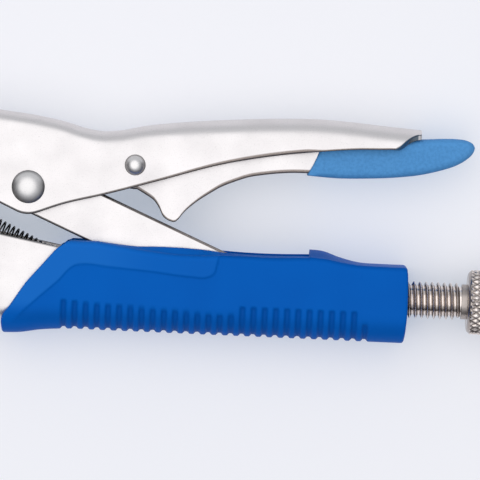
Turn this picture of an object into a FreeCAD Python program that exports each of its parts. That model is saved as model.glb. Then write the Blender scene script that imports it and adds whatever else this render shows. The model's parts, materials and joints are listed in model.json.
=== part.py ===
import FreeCAD, Part
import math
import os

# Locking pliers with curved jaws, closed and locked. Millimetres.
#
# The outlines are drawn in the plane that the tool lies in: x runs back along the adjusting screw's
# axis, y points from the fixed handle towards the movable handle, and z = 0 is the middle of the tool.
# The finished solids are then moved so that the origin is under the middle of the whole tool.

V = FreeCAD.Vector

# ---- driving dimensions -------------------------------------------------------------------------

SHEET = 2.2                      # thickness of the two handle channels and of the link
CHANNEL_INSIDE = 6.0             # half the clear width of both handle channels
CHANNEL_OUTSIDE = CHANNEL_INSIDE + SHEET
BEND_OUTSIDE = 4.0               # outer radius of the fixed handle's folds
BEND_INSIDE = BEND_OUTSIDE - SHEET
HANDLE_BEND_OUTSIDE = 5.0        # the movable handle's, whose sheet is thinner in the folds
RUNNING = 0.05                   # radial clearance of every pin that turns in a hole
HEAD_RISE = 2.1                  # height of a rivet's domed head
GRIP_HALF = 10.5                 # half the thickness of the grip, the thickest piece

JAW_PIVOT = (0.0, 11.3)          # movable jaw on the fixed handle
HANDLE_PIVOT = (6.8, 44.0)       # movable handle on the movable jaw
LINK_PIVOT = (37.1, 28.9)        # toggle link on the movable handle
LEVER_PIVOT = (68.4, 36.7)       # release lever on the movable handle
LINK_FOOT = (105.1, 0.0)         # foot of the toggle link, on the screw's axis

JAW_HALF = 5.7                   # half the thickness of both jaws between the handles' sides
MOUTH_HALF = 6.5                 # half the width of the gripping part of both jaws
MOUTH_GAP = 0.3                  # gap between the jaws when they are closed
NOSE_X = -59.3
NOSE_FLAT_X = (-58.0, -46.0)     # flat serrated stretch at the nose
CURVE_X = (-46.0, -24.0)         # curved serrated stretch
CURVE_DEPTH = 4.0
TOOTH_DEPTH = 0.7
CUTTER_X = -18.0                 # centre of the wire cutter's notch
MOUTH_BACK_X = -13.2             # the wide part of the jaws ends here
HUB_R = 9.5                      # movable jaw's hub round the jaw pivot
JAW_EAR_R = 6.0                  # movable jaw's rounded end at the handle pivot
JAW_PIN_R = 4.0
HANDLE_PIN_R = 3.5
LINK_PIN_R = 3.2
LEVER_PIN_R = 2.0
JAW_RIVET_R = 2.0
JAW_RIVETS = {"front": (-5.0, -3.4), "rear": (14.0, -3.4)}

HANDLE_EAR_R = 9.5               # movable handle's rounded end at the handle pivot
HANDLE_LINK_R = 8.1              # movable handle's lower bulge round the link pivot
CHANNEL_FRONT_X = -12.0          # fixed handle
CHANNEL_END_X = 125.0
CHANNEL_BACK_Y = -10.5
CHANNEL_RIM_Y = 8.8
FIXED_EAR_R = 8.5

LINK_HALF = 5.7
LINK_R = 7.05                    # half the height of the link
LINK_FOOT_R = 3.8
FOOT_PIN_R = 4.2
FOOT_JOURNAL_R = 2.0

LEVER_HALF = 4.6
LEVER_SHEET = 1.8
LEVER_EAR_R = 7.3
SLEEVE_HALF = 5.6

GRIP_BOTTOM_Y = -13.0
GRIP_FRONT_Y = -14.9
GRIP_END_X = 150.7
SLOT_END_X = 121.1               # the slot in the grip's top ends here

THREAD_R = 5.55                  # 7/16 inch thread, outside radius
SCREW_TIP_X = 112.4
SCREW_DOG_X = 114.4
SCREW_DOG_R = 2.9
THREAD_END_X = 166.8
NECK_R = 3.7
COLLAR_R = 5.2
KNOB_X = 168.6
KNOB_END_X = 187.0
KNOB_R = 9.65
BUSH_R = 7.8
BUSH_END_X = 149.3
SCREW_HOLE_R = 6.0

SPRING_HOOK = (12.5, 22.95)      # hole in the movable jaw's lug
SPRING_ANCHOR = (56.4, 2.2)      # pin across the fixed handle
SPRING_HOOK_HOLE = 1.2           # radius of that hole
SPRING_POCKET_R = 4.0            # the jaw's arm is thinned to the lug this far round the hole
SPRING_R = 3.5
SPRING_WIRE = 1.1
SPRING_LUG_HALF = 1.5
SPRING_LUG_R = 3.6
HOOK_R = 2.5                     # radius of the end hooks' wire centre line
ANCHOR_PIN_R = 1.5

# ---- helpers ------------------------------------------------------------------------------------


def polar(centre, radius, degrees):
    """The point at that radius and angle from a centre."""
    angle = math.radians(degrees)
    return (centre[0] + radius * math.cos(angle), centre[1] + radius * math.sin(angle))


def outline(start, *moves):
    """A flat face. A point is a straight run, ("arc", middle, end) a round one, and ("curve", p, q, ...)
    a smooth curve through the points."""
    edges = []
    here = start
    for move in list(moves) + [start]:
        if move[0] == "arc":
            points = [V(*here), V(*move[1]), V(*move[2])]
            edges.append(Part.Arc(*points).toShape())
            here = move[2]
        elif move[0] == "curve":
            spline = Part.BSplineCurve()
            spline.interpolate([V(*p) for p in (here,) + tuple(move[1:])])
            edges.append(spline.toShape())
            here = move[-1]
        elif V(*move).distanceToPoint(V(*here)) > 1e-6:
            edges.append(Part.LineSegment(V(*here), V(*move)).toShape())
            here = move
    return Part.Face(Part.Wire(edges))


def plate(face, half):
    """A face thickened from z = -half to z = half."""
    slab = face.copy()
    slab.translate(V(0, 0, -half))
    return slab.extrude(V(0, 0, 2 * half))


def disc(centre, radius, half):
    return Part.makeCylinder(radius, 2 * half, V(centre[0], centre[1], -half))


def block(low_x, high_x, low_y, high_y, half):
    return Part.makeBox(high_x - low_x, high_y - low_y, 2 * half, V(low_x, low_y, -half))


def turned(profile):
    """A solid of revolution about the x axis, from (radius, x) points."""
    points = [V(x, radius, 0) for radius, x in profile]
    face = Part.Face(Part.makePolygon(points + points[:1]))
    return face.revolve(V(0, 0, 0), V(1, 0, 0), 360)


def domed_rivet(centre, shank_r, head_r, seat=CHANNEL_OUTSIDE):
    """A shank through both sides with a low domed head on each."""
    rise = CHANNEL_OUTSIDE + HEAD_RISE - seat
    ball_r = (head_r ** 2 + rise ** 2) / (2 * rise)
    rivet = disc((0, 0), shank_r, seat)
    for side in (1, -1):
        ball = Part.makeSphere(ball_r, V(0, 0, side * (seat + rise - ball_r)))
        low = seat if side > 0 else -seat - rise
        rivet = rivet.fuse(ball.common(Part.makeCylinder(head_r, rise, V(0, 0, low))))
    rivet = rivet.removeSplitter()
    rivet.translate(V(centre[0], centre[1], 0))
    return rivet


def rounded(solid, radius, wanted):
    """The solid with a fillet on the edges for which wanted(edge) is true."""
    edges = [edge for edge in solid.Edges if wanted(edge)]
    return solid.makeFillet(radius, edges)


def on_curve(edge):
    return edge.Curve.TypeId == "Part::GeomBSplineCurve" and edge.Length > 80


def tangent_points(centre, radius, other, other_radius):
    """The two touching points of the line that runs under two circles."""
    run = math.hypot(other[0] - centre[0], other[1] - centre[1])
    heading = math.degrees(math.atan2(other[1] - centre[1], other[0] - centre[0]))
    lean = math.degrees(math.asin((radius - other_radius) / run))
    down = heading - 90 + lean
    return polar(centre, radius, down), polar(other, other_radius, down)


# ---- jaws ---------------------------------------------------------------------------------------


def mouth(side):
    """Points along one jaw's gripping edge, from nose to hub. side is 1 for the movable jaw."""
    points = [(NOSE_X + 0.5, 0.0)]

    def teeth(low, high, count, height):
        pitch = (high - low) / count
        for i in range(count):
            points.append((low + i * pitch, height(low + i * pitch)))
            points.append((low + (i + 0.5) * pitch, height(low + (i + 0.5) * pitch) + TOOTH_DEPTH))

    middle = sum(CURVE_X) / 2
    chord = CURVE_X[1] - CURVE_X[0]
    radius = (chord ** 2 / 4 + CURVE_DEPTH ** 2) / (2 * CURVE_DEPTH)
    teeth(NOSE_FLAT_X[0], NOSE_FLAT_X[1], 8, lambda x: 0.0)
    teeth(CURVE_X[0], CURVE_X[1], 12,
          lambda x: math.sqrt(radius ** 2 - (x - middle) ** 2) - radius + CURVE_DEPTH)
    points += [(CURVE_X[1], 0.0), (CUTTER_X - 2.5, 0.0), (CUTTER_X, 2.6), (CUTTER_X + 2.5, 0.0)]
    return [(x, JAW_PIVOT[1] + side * (MOUTH_GAP / 2 + y)) for x, y in points]


def jaw_blank(face):
    """A jaw: thin where it runs between the handles' sides, wide in the mouth."""
    thin = plate(face, JAW_HALF)
    wide = plate(face, MOUTH_HALF).common(block(NOSE_X - 1, MOUTH_BACK_X, -30, 60, MOUTH_HALF))
    return thin.fuse(wide).removeSplitter()


def movable_jaw():
    grip_edge = mouth(1)
    ear_right = polar(HANDLE_PIVOT, JAW_EAR_R, -7)
    ear_left = polar(HANDLE_PIVOT, JAW_EAR_R, 175)
    face = outline(
        grip_edge[0],
        *grip_edge[1:],
        (-8.5, JAW_PIVOT[1] + MOUTH_GAP / 2),
        (9.3, JAW_PIVOT[1] + MOUTH_GAP / 2),
        ("curve", (9.6, 22.0), (11.6, 34.0), ear_right),
        ("arc", polar(HANDLE_PIVOT, JAW_EAR_R, 90), ear_left),
        ("curve", (-0.6, 39.5), (-4.0, 33.6), (-12.0, 30.2), (-25.0, 27.6), (-38.0, 24.2),
         (-49.0, 19.8), (-56.5, 15.4), (NOSE_X, 12.6)),
    )
    jaw = jaw_blank(face).fuse(disc(JAW_PIVOT, HUB_R, JAW_HALF))
    jaw = jaw.fuse(disc(SPRING_HOOK, SPRING_LUG_R, SPRING_LUG_HALF)).removeSplitter()
    jaw = jaw.cut(disc(JAW_PIVOT, JAW_PIN_R + RUNNING, 20))
    jaw = jaw.cut(disc(HANDLE_PIVOT, HANDLE_PIN_R, 20))
    # the hook's hole, with a pocket on each side that thins the arm to the lug
    pocket = disc(SPRING_HOOK, SPRING_POCKET_R, JAW_HALF + 1)
    pocket = pocket.cut(disc(SPRING_HOOK, 20, SPRING_LUG_HALF))
    return jaw.cut(disc(SPRING_HOOK, SPRING_HOOK_HOLE, 20)).cut(pocket)


def fixed_jaw():
    grip_edge = mouth(-1)
    face = outline(
        grip_edge[0],
        *grip_edge[1:],
        (-8.0, JAW_PIVOT[1] - MOUTH_GAP / 2),
        (-8.0, 4.0),
        (11.0, 4.0),
        (24.0, -2.0),
        (26.0, -5.0),
        (26.0, -7.4),
        (CHANNEL_FRONT_X - 0.3, -7.4),
        (CHANNEL_FRONT_X - 0.3, CHANNEL_BACK_Y),
        ("curve", (-21.0, -10.0), (-33.0, -7.2), (-45.0, -1.2), (-54.0, 5.2), (NOSE_X, 10.0)),
    )
    jaw = jaw_blank(face).cut(disc(JAW_PIVOT, HUB_R + 0.4, 20))
    for place in JAW_RIVETS.values():
        jaw = jaw.cut(disc(place, JAW_RIVET_R, 20))
    return jaw


# ---- fixed handle and what is on it ----------------------------------------------------------------


def fixed_envelope():
    """The fixed handle's outer shape, as if it were not hollow."""
    ear_top = polar(JAW_PIVOT, FIXED_EAR_R, 80)
    face = outline(
        ear_top,
        (62.0, CHANNEL_RIM_Y),
        (CHANNEL_END_X, CHANNEL_RIM_Y),
        (CHANNEL_END_X, CHANNEL_BACK_Y),
        (CHANNEL_FRONT_X, CHANNEL_BACK_Y),
        (CHANNEL_FRONT_X, -2.0),
        polar(JAW_PIVOT, FIXED_EAR_R, 195),
        ("arc", polar(JAW_PIVOT, FIXED_EAR_R, 140), ear_top),
    )
    solid = plate(face, CHANNEL_OUTSIDE)
    return rounded(solid, BEND_OUTSIDE, lambda e: abs(e.CenterOfMass.y - CHANNEL_BACK_Y) < 0.01
                   and e.Length > 80)


def fixed_handle():
    inside = block(CHANNEL_FRONT_X - 5, CHANNEL_END_X + 5, CHANNEL_BACK_Y + SHEET, 60, CHANNEL_INSIDE)
    inside = rounded(inside, BEND_INSIDE, lambda e: e.Length > 80
                     and abs(e.CenterOfMass.y - CHANNEL_BACK_Y - SHEET) < 0.01)
    channel = fixed_envelope().cut(inside)
    channel = channel.cut(disc(JAW_PIVOT, JAW_PIN_R, 20))
    channel = channel.cut(disc(SPRING_ANCHOR, ANCHOR_PIN_R, 20))
    for place in JAW_RIVETS.values():
        channel = channel.cut(disc(place, JAW_RIVET_R, 20))
    return channel


def threaded_bush():
    """The round nut welded to the channel's end. Its thread is drawn as a plain bore."""
    bore = THREAD_R + RUNNING
    return turned([(bore, CHANNEL_END_X), (BUSH_R, CHANNEL_END_X), (BUSH_R, BUSH_END_X),
                   (bore + 0.5, BUSH_END_X), (bore, BUSH_END_X - 0.5)])


def handle_grip():
    """The moulded sleeve: open along its top where the link goes in, closed round the bush."""
    side = outline(
        (50.3, 13.6),
        ("curve", (47.6, 12.2), (42.0, 5.9), (37.3, 0.3), (33.7, -5.5), (30.7, -10.2)),
        (30.7, GRIP_FRONT_Y),
        ("curve", (36.0, -14.7), (42.0, -13.6), (50.0, GRIP_BOTTOM_Y)),
        (149.7, GRIP_BOTTOM_Y),
        ("arc", (GRIP_END_X, -1.0), (149.7, 9.4)),
        (148.9, 10.1),
        ("curve", (142.0, 10.1), (136.4, 10.3), (129.9, 11.8), (124.8, 13.5), (SLOT_END_X, 13.7)),
        (SLOT_END_X, 11.85),
        ("curve", (109.9, 11.3), (96.3, 11.5), (82.3, 10.9), (67.1, 12.05), (50.3, 13.6)),
    )
    low = GRIP_FRONT_Y
    high = 13.7
    bottom_round = 6.0
    section = Part.makeBox(160, high - low, 2 * GRIP_HALF, V(20, low, -GRIP_HALF))
    section = rounded(section, bottom_round, lambda e: e.Length > 150 and e.CenterOfMass.y < 0)
    section = rounded(section, 2.0, lambda e: e.Length > 150 and e.CenterOfMass.y > high - 0.1)
    grip = plate(side, GRIP_HALF).common(section)
    grip = grip.cut(fixed_envelope())
    slot = block(20, SLOT_END_X, CHANNEL_BACK_Y + SHEET, 30, CHANNEL_INSIDE)
    bush_seat = Part.makeCylinder(BUSH_R, BUSH_END_X - CHANNEL_END_X + 1, V(CHANNEL_END_X - 1, 0, 0), V(1, 0, 0))
    screw_hole = Part.makeCylinder(SCREW_HOLE_R, 10, V(BUSH_END_X - 1, 0, 0), V(1, 0, 0))
    return grip.cut(slot).cut(bush_seat).cut(screw_hole)


def spring_anchor_pin():
    return disc(SPRING_ANCHOR, ANCHOR_PIN_R, CHANNEL_OUTSIDE)


# ---- movable handle ---------------------------------------------------------------------------------

HANDLE_BACK = ((27.5, 51.2), (38.9, 49.9), (47.1, 48.4), (53.1, 46.8), (58.3, 46.1), (63.0, 46.5),
               (70.8, 48.2), (82.1, 49.8), (93.4, 50.9), (110.6, 52.1), (122.5, 52.4), (133.3, 51.9),
               (140.9, 51.3), (152.3, 50.5))


def handle_slab(half, drop, radius):
    """Everything under the handle's back, lowered by drop, with the back's two edges rounded."""
    points = [(x, y - drop) for x, y in ((-10.0, 55.4), (7.8, 53.4)) + HANDLE_BACK + ((160.0, 49.9),)]
    face = outline(points[0], ("curve",) + tuple(points[1:]), (160.0, 0.0), (-10.0, 0.0))
    return rounded(plate(face, half), radius, on_curve)


def movable_handle():
    high = 70.0
    ear_top = polar(HANDLE_PIVOT, HANDLE_EAR_R, 84)
    ear_low, bulge = tangent_points(HANDLE_PIVOT, HANDLE_EAR_R, LINK_PIVOT, HANDLE_LINK_R)
    side = outline(
        ear_top,
        (ear_top[0], high),
        (HANDLE_BACK[-1][0], high),
        HANDLE_BACK[-1],
        (151.6, 49.2),
        ("curve", (150.5, 48.5), (148.7, 47.1), (146.9, 45.7), (144.2, 44.8), (133.7, 44.0),
         (122.9, 42.9), (109.0, 41.0), (94.0, 37.9), (76.0, 32.4), (59.4, 27.4), (46.8, 23.9),
         polar(LINK_PIVOT, HANDLE_LINK_R, -70)),
        ("arc", polar(LINK_PIVOT, HANDLE_LINK_R, -95), bulge),
        ear_low,
        ("arc", polar(HANDLE_PIVOT, HANDLE_EAR_R, 180), ear_top),
    )
    shell = handle_slab(CHANNEL_OUTSIDE, 0.0, HANDLE_BEND_OUTSIDE).common(plate(side, CHANNEL_OUTSIDE))
    hollow = handle_slab(CHANNEL_INSIDE, SHEET, BEND_INSIDE)
    hollow = hollow.fuse(block(-20, ear_top[0], 0, high, CHANNEL_INSIDE))
    handle = shell.cut(hollow)
    handle = handle.cut(disc(HANDLE_PIVOT, HANDLE_PIN_R + RUNNING, 20))
    handle = handle.cut(disc(LINK_PIVOT, LINK_PIN_R, 20))
    return handle.cut(disc(LEVER_PIVOT, LEVER_PIN_R, 20))


# ---- toggle link ------------------------------------------------------------------------------------

LINK_LENGTH = math.hypot(LINK_FOOT[0] - LINK_PIVOT[0], LINK_FOOT[1] - LINK_PIVOT[1])
LINK_ANGLE = math.degrees(math.atan2(LINK_FOOT[1] - LINK_PIVOT[1], LINK_FOOT[0] - LINK_PIVOT[0]))
LINK_TAPER_U = 56.0              # where the link starts to narrow towards its foot


def on_link(solid):
    """Moves a solid drawn along x from the origin to the link's place."""
    placed = solid.copy()
    placed.rotate(V(0, 0, 0), V(0, 0, 1), LINK_ANGLE)
    placed.translate(V(LINK_PIVOT[0], LINK_PIVOT[1], 0))
    return placed


def toggle_link():
    """A channel with its back on the lower edge, and two bare cheeks at the foot."""
    foot = (LINK_LENGTH, 0.0)
    face = outline(
        (0.0, LINK_R),
        ("arc", (-LINK_R, 0.0), (0.0, -LINK_R)),
        (LINK_TAPER_U, -LINK_R),
        polar(foot, LINK_FOOT_R, -100),
        ("arc", polar(foot, LINK_FOOT_R, 0), polar(foot, LINK_FOOT_R, 100)),
        (LINK_TAPER_U, LINK_R),
    )
    shell = rounded(plate(face, LINK_HALF), 3.0,
                    lambda e: e.Length > 50 and abs(e.CenterOfMass.y + LINK_R) < 0.01)
    half = LINK_HALF - SHEET
    hollow = block(-20, 100, -LINK_R + SHEET, 20, half)
    hollow = rounded(hollow, 0.8, lambda e: e.Length > 100 and e.CenterOfMass.y < 0)
    hollow = hollow.fuse(block(-20, 5, -20, 20, half)).fuse(block(LINK_TAPER_U, 100, -20, 20, half))
    link = shell.cut(hollow)
    link = link.cut(disc((0, 0), LINK_PIN_R + RUNNING, 20)).cut(disc(foot, FOOT_JOURNAL_R, 20))
    return on_link(link)


def link_foot_pin():
    """The cross pin that bears on the screw's tip: thick between the cheeks, thin in their holes."""
    thick = LINK_HALF - SHEET
    pin = disc(LINK_FOOT, FOOT_PIN_R, thick)
    return pin.fuse(disc(LINK_FOOT, FOOT_JOURNAL_R, LINK_HALF)).removeSplitter()


# ---- release lever ----------------------------------------------------------------------------------

LEVER_TOP = ((75.0, 45.4), (82.0, 46.8), (95.0, 48.0), (110.0, 48.7), (120.0, 48.6), (132.0, 47.9),
             (152.4, 46.9))


def lever_face():
    return outline(
        polar(LEVER_PIVOT, LEVER_EAR_R, 105),
        ("curve",) + LEVER_TOP,
        ("curve", (159.0, 47.6), (164.0, 47.3), (167.2, 45.5)),
        ("curve", (165.6, 43.5), (163.2, 41.7), (158.5, 39.8), (152.9, 38.3), (145.4, 37.2),
         (137.8, 36.6), (126.5, 36.3), (113.0, 36.1), (107.4, 35.4), (101.8, 34.3), (98.0, 32.9),
         (94.3, 31.3), (90.6, 29.0), (86.9, 26.4), (82.8, 22.6)),
        ("arc", (81.0, 20.5), (80.0, 20.2)),
        ("curve", (77.3, 21.5), (76.0, 24.0), (74.4, 26.2), (71.7, 28.0),
         polar(LEVER_PIVOT, LEVER_EAR_R, -85)),
        ("arc", polar(LEVER_PIVOT, LEVER_EAR_R, 180), polar(LEVER_PIVOT, LEVER_EAR_R, 105)),
    )


def release_lever():
    """A channel with its back inside the movable handle and its bare edges down."""
    half = LEVER_HALF - LEVER_SHEET
    start = polar(LEVER_PIVOT, LEVER_EAR_R, 105)
    under = [(x, y - LEVER_SHEET) for x, y in (start,) + LEVER_TOP]
    hollow = outline(
        under[0],
        ("curve",) + tuple(under[1:]),
        (163.5, 45.3),
        (163.5, 10.0),
        (50.0, 10.0),
        (50.0, under[0][1]),
    )
    lever = plate(lever_face(), LEVER_HALF).cut(plate(hollow, half))
    return lever.cut(disc(LEVER_PIVOT, LEVER_PIN_R + RUNNING, 20))


def lever_sleeve():
    """The dipped sleeve on the lever's tail."""
    face = outline(
        (119.4, 35.6),
        ("curve", (126.5, 35.2), (137.8, 35.5), (145.4, 36.1), (152.9, 37.2), (158.5, 38.6),
         (164.2, 40.8), (167.4, 43.2), (168.9, 45.8)),
        ("curve", (167.6, 47.4), (164.6, 48.6), (160.0, 48.9), (152.4, 48.0), (140.0, 48.4),
         (130.0, 49.0), (121.6, 49.5)),
        ("curve", (122.4, 42.7), (121.2, 39.5), (119.4, 35.6)),
    )
    sleeve = plate(face, SLEEVE_HALF)
    sleeve = rounded(sleeve, 0.8, lambda e: e.Curve.TypeId == "Part::GeomBSplineCurve"
                     and e.Length > 30)
    return sleeve.cut(plate(lever_face(), LEVER_HALF))


# ---- spring -----------------------------------------------------------------------------------------


def tension_spring():
    """The coil as a tube with closed ends, and a round hook at each end."""
    run_x = SPRING_ANCHOR[0] - SPRING_HOOK[0]
    run_y = SPRING_ANCHOR[1] - SPRING_HOOK[1]
    length = math.hypot(run_x, run_y)
    wire_r = SPRING_WIRE / 2
    coil_start = 2 * HOOK_R
    coil_end = length - HOOK_R
    tube = turned([(0, coil_start), (SPRING_R, coil_start), (SPRING_R, coil_end), (0, coil_end),
                   (0, coil_end - SPRING_WIRE), (SPRING_R - SPRING_WIRE, coil_end - SPRING_WIRE),
                   (SPRING_R - SPRING_WIRE, coil_start + SPRING_WIRE), (0, coil_start + SPRING_WIRE)])
    jaw_hook = Part.makeTorus(HOOK_R, wire_r, V(HOOK_R, 0, 0), V(0, 1, 0))
    anchor_hook = Part.makeTorus(HOOK_R, wire_r, V(length, 0, 0), V(0, 0, 1))
    spring = tube.fuse(jaw_hook).fuse(anchor_hook)
    spring.rotate(V(0, 0, 0), V(0, 0, 1), math.degrees(math.atan2(run_y, run_x)))
    spring.translate(V(SPRING_HOOK[0], SPRING_HOOK[1], 0))
    return spring


# ---- adjusting screw --------------------------------------------------------------------------------


def adjusting_screw():
    """The screw with its knob in one piece. Its thread is drawn as a plain cylinder."""
    return turned([(0, SCREW_TIP_X), (SCREW_DOG_R, SCREW_TIP_X), (SCREW_DOG_R, SCREW_DOG_X),
                   (THREAD_R - 1, SCREW_DOG_X), (THREAD_R, SCREW_DOG_X + 1), (THREAD_R, THREAD_END_X),
                   (NECK_R, THREAD_END_X), (NECK_R, KNOB_X), (KNOB_R - 1.2, KNOB_X),
                   (KNOB_R, KNOB_X + 1.5), (KNOB_R, KNOB_END_X - 1.2), (KNOB_R - 1.2, KNOB_END_X),
                   (0, KNOB_END_X)])


def screw_collar():
    """The smooth ring between the thread and the knob."""
    gap = 0.1
    bore = NECK_R + RUNNING
    return turned([(bore, THREAD_END_X + gap), (COLLAR_R, THREAD_END_X + gap),
                   (COLLAR_R, KNOB_X - gap), (bore, KNOB_X - gap)])


# ---- the whole tool ---------------------------------------------------------------------------------

PIECES = {
    "fixed_handle": fixed_handle,
    "fixed_jaw": fixed_jaw,
    "fixed_jaw_rivet_front": lambda: domed_rivet(JAW_RIVETS["front"], JAW_RIVET_R, 3.4),
    "fixed_jaw_rivet_rear": lambda: domed_rivet(JAW_RIVETS["rear"], JAW_RIVET_R, 3.4),
    "main_pivot_rivet": lambda: domed_rivet(JAW_PIVOT, JAW_PIN_R, 6.4),
    "threaded_bush": threaded_bush,
    "handle_grip": handle_grip,
    "spring_anchor_pin": spring_anchor_pin,
    "movable_jaw": movable_jaw,
    "handle_pivot_rivet": lambda: domed_rivet(HANDLE_PIVOT, HANDLE_PIN_R, 5.4, CHANNEL_OUTSIDE + 0.1),
    "movable_handle": movable_handle,
    "link_rivet": lambda: domed_rivet(LINK_PIVOT, LINK_PIN_R, 4.9),
    "lever_rivet": lambda: domed_rivet(LEVER_PIVOT, LEVER_PIN_R, 3.1),
    "toggle_link": toggle_link,
    "link_foot_pin": link_foot_pin,
    "release_lever": release_lever,
    "lever_sleeve": lever_sleeve,
    "tension_spring": tension_spring,
    "screw_collar": screw_collar,
    "adjusting_screw": adjusting_screw,
}

# The origin is under the middle of the tool as it lies on its side.
MIDDLE_X = (NOSE_X + KNOB_END_X) / 2
MIDDLE_Y = (GRIP_FRONT_Y + HANDLE_PIVOT[1] + HANDLE_EAR_R) / 2
SHIFT = V(-MIDDLE_X, -MIDDLE_Y, GRIP_HALF)

os.makedirs("parts", exist_ok=True)
for node, make in PIECES.items():
    piece = make()
    piece.translate(SHIFT)
    solids = len(piece.Solids)
    print(f"{node:22s} solids {solids} valid {piece.isValid()} volume {piece.Volume:9.1f} mm3")
    piece.exportStep(f"parts/{node}.step")
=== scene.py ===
import json
import math

import bmesh
import bpy
import numpy as np
from mathutils import Matrix, Vector
from mathutils.geometry import delaunay_2d_cdt

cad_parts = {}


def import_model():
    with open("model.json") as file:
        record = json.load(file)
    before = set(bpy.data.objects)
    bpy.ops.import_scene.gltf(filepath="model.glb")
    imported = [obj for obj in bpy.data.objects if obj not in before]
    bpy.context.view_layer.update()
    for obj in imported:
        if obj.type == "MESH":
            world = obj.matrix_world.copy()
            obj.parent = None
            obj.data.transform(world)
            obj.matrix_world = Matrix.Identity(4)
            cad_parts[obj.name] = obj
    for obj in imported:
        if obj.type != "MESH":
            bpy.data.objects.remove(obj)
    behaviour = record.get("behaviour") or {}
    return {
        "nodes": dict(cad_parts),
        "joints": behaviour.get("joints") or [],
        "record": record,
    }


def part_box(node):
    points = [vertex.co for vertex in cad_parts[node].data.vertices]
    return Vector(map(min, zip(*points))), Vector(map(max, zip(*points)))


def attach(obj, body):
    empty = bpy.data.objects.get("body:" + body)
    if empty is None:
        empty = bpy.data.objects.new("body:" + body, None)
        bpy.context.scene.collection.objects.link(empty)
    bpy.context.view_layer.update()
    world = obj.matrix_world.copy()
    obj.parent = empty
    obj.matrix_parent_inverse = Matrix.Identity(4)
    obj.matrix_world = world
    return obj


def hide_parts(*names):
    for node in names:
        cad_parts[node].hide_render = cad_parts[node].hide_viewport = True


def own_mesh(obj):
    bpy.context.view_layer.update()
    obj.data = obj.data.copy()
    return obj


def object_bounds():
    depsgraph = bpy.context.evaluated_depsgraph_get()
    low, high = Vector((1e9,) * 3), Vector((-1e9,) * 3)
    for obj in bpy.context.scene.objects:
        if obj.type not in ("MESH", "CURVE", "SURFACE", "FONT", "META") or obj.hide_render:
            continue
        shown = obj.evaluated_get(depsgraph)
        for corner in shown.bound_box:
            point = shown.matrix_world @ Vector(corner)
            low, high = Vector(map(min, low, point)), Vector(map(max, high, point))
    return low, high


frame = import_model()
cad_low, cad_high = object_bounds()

# Locking pliers. Shapes are drawn in millimetres in the plane that the tool lies in: x back along the
# screw's axis from the jaw pivot, y from the screw's axis towards the movable handle, z from the
# tool's middle plane. ORIGIN puts that drawing in the frame.

joints = {j["name"]: j for j in frame["joints"]}


def joint_at(name):
    return Vector(joints[name]["pos_m"])


ORIGIN = Vector((joint_at("jaw_swing").x, joint_at("screw_turn").y, joint_at("screw_turn").z))
MM = 0.001


def drawn(point):
    """The drawing's (x, y) of a point in the frame."""
    return ((point.x - ORIGIN.x) / MM, (point.y - ORIGIN.y) / MM)


JAW_PIVOT = drawn(joint_at("jaw_swing"))
HANDLE_PIVOT = drawn(joint_at("handle_swing"))
LINK_PIVOT = drawn(joint_at("link_swing"))
LEVER_PIVOT = drawn(joint_at("lever_press"))
SPRING_ANCHOR = drawn(joint_at("spring_swing"))
PIN_LOW, PIN_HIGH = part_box("link_foot_pin")
LINK_FOOT = drawn((PIN_LOW + PIN_HIGH) / 2)

SHEET = 2.2
CHANNEL_OUTSIDE = 8.2
BEND = 4.0
SCREW_PITCH = 25.4 / 14
FAR = 999.0  # past the ends of any piece


# ---- meshes ----


def put(name, data):
    """A new object in the scene."""
    thing = bpy.data.objects.new(name, data)
    bpy.context.scene.collection.objects.link(thing)
    return thing


def make_piece(name, points, faces, body, stands_for, slot, material, edge=None, sharp=40):
    """A mesh piece from points in drawing millimetres. edge is 1 where a point lies on a cut edge, or in
    moulded plastic from 0 in a groove to 1 on a raised part. Faces that meet at more than sharp degrees
    have a sharp edge between them."""
    mesh = bpy.data.meshes.new(name)
    place = np.array(ORIGIN) + np.asarray(points, float) * MM
    mesh.from_pydata([tuple(p) for p in place], [], [tuple(f) for f in faces])
    if edge is not None:
        layer = mesh.attributes.new("cut_edge", "FLOAT", "POINT")
        layer.data.foreach_set("value", np.asarray(edge, np.float32))
    clean = bmesh.new()
    clean.from_mesh(mesh)
    bmesh.ops.remove_doubles(clean, verts=clean.verts, dist=2e-6)
    bmesh.ops.dissolve_degenerate(clean, edges=clean.edges, dist=1e-6)
    bmesh.ops.delete(clean, geom=[v for v in clean.verts if not v.link_faces], context="VERTS")
    bmesh.ops.recalc_face_normals(clean, faces=clean.faces)
    clean.to_mesh(mesh)
    clean.free()
    for polygon in mesh.polygons:
        polygon.use_smooth = True
    mesh.set_sharp_from_angle(angle=math.radians(sharp))
    mesh.materials.append(material)
    piece = put(name, mesh)
    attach(piece, body)
    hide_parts(stands_for)
    return piece


def smooth_step(low, high, value):
    """0 below low, 1 above high, and a smooth rise between them."""
    share = np.clip((np.asarray(value, float) - low) / (high - low), 0, 1)
    return share * share * (3 - 2 * share)


def through(points, spacing=0.5):
    """A dense polyline on a smooth curve through the points."""
    p = np.asarray(points, float)
    run = np.concatenate([[0], np.cumsum(np.linalg.norm(np.diff(p, axis=0), axis=1))])
    slope = np.gradient(p, run, axis=0)
    out = []
    for i in range(len(p) - 1):
        length = run[i + 1] - run[i]
        steps = max(2, int(round(length / spacing)))
        t = np.linspace(0, 1, steps, endpoint=False)[:, None]
        out.append((2 * t ** 3 - 3 * t ** 2 + 1) * p[i] + (t ** 3 - 2 * t ** 2 + t) * length * slope[i]
                   + (3 * t ** 2 - 2 * t ** 3) * p[i + 1] + (t ** 3 - t ** 2) * length * slope[i + 1])
    return np.concatenate(out + [p[-1:]])


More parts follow.
